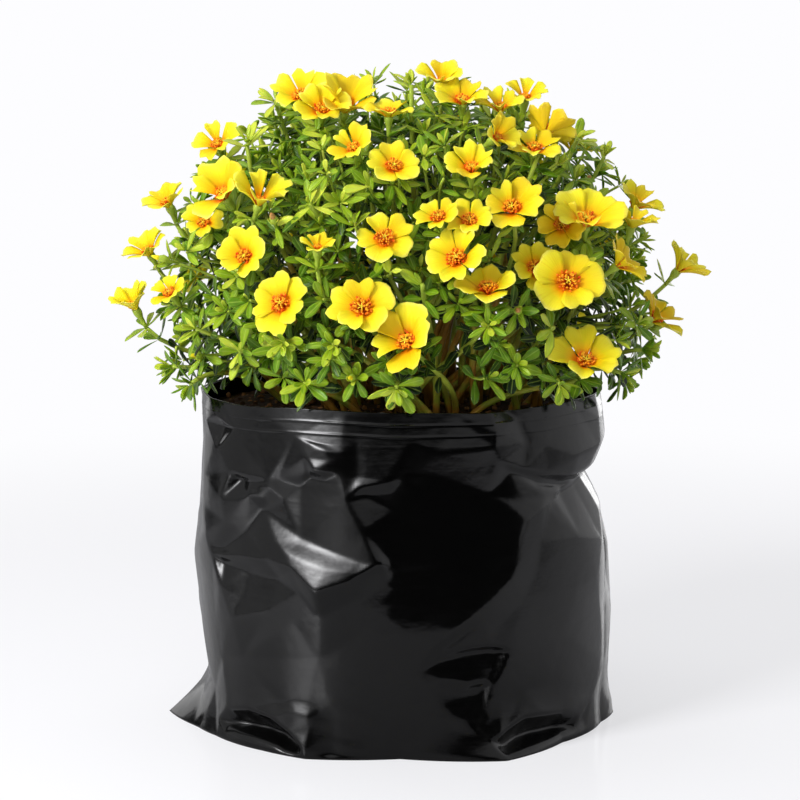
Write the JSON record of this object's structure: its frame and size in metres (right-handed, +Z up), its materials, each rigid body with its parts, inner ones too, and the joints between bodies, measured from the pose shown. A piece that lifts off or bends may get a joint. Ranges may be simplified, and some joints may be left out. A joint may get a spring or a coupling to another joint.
{
  "type": "portulaca in a plastic grow bag",
  "caption": "Bushy yellow-flowered portulaca growing in a black polyethylene grow bag filled with potting soil, standing on its flat bottom.",
  "frame": {"origin": "middle of the bag's flat underside, on the ground", "axes": "+Z up along the plant; front is -Y; +X to the right seen from the front, along the bag's wider side"},
  "size_m": [0.3186, 0.2432, 0.3583],
  "materials": {
    "polyethylene_film": "glossy black blown polyethylene film, creased",
    "potting_soil": "dark moist potting mix of bark and peat",
    "leaves_and_stems": "fleshy green leaves with a soft sheen on green to reddish stems",
    "petals": "thin satin yellow petals, orange round the stamens"
  },
  "bodies": {
    "root": {"bloom_01": "petals", "bloom_04": "petals", "bloom_06": "petals", "bloom_09": "petals", "bloom_10": "petals", "bloom_11": "petals", "bloom_12": "petals", "bloom_13": "petals", "bloom_14": "petals", "bloom_18": "petals", "bloom_19": "petals", "bloom_23": "petals", "bloom_24": "petals", "bloom_25": "petals", "bloom_26": "petals", "bloom_27": "petals", "bloom_28": "petals", "bloom_29": "petals", "bloom_30": "petals", "bloom_31": "petals", "bloom_32": "petals", "bloom_33": "petals", "bloom_34": "petals", "bloom_35": "petals", "bloom_36": "petals", "bloom_37": "petals", "bloom_38": "petals", "bloom_39": "petals", "bloom_40": "petals", "bloom_41": "petals", "bloom_42": "petals", "bloom_43": "petals", "bloom_44": "petals", "bloom_45": "petals", "bloom_46": "petals", "bloom_47": "petals", "bloom_48": "petals", "bloom_49": "petals", "bloom_50": "petals", "bloom_51": "petals", "bloom_52": "petals", "bloom_53": "petals", "bloom_54": "petals", "bloom_55": "petals", "blooms_02_03_05": "petals", "blooms_07_08": "petals", "blooms_15_20_21_22": "petals", "blooms_16_17": "petals", "grow_bag": "polyethylene_film", "leafy_crown": "leaves_and_stems", "leafy_shoot_01": "leaves_and_stems", "leafy_shoot_02": "leaves_and_stems", "leafy_shoot_03": "leaves_and_stems", "leafy_shoot_04": "leaves_and_stems", "leafy_shoot_05": "leaves_and_stems", "leafy_shoot_06": "leaves_and_stems", "leafy_shoot_07": "leaves_and_stems", "leafy_shoot_08": "leaves_and_stems", "leafy_shoot_09": "leaves_and_stems", "potting_soil": "potting_soil"}
  },
  "joints": []
}
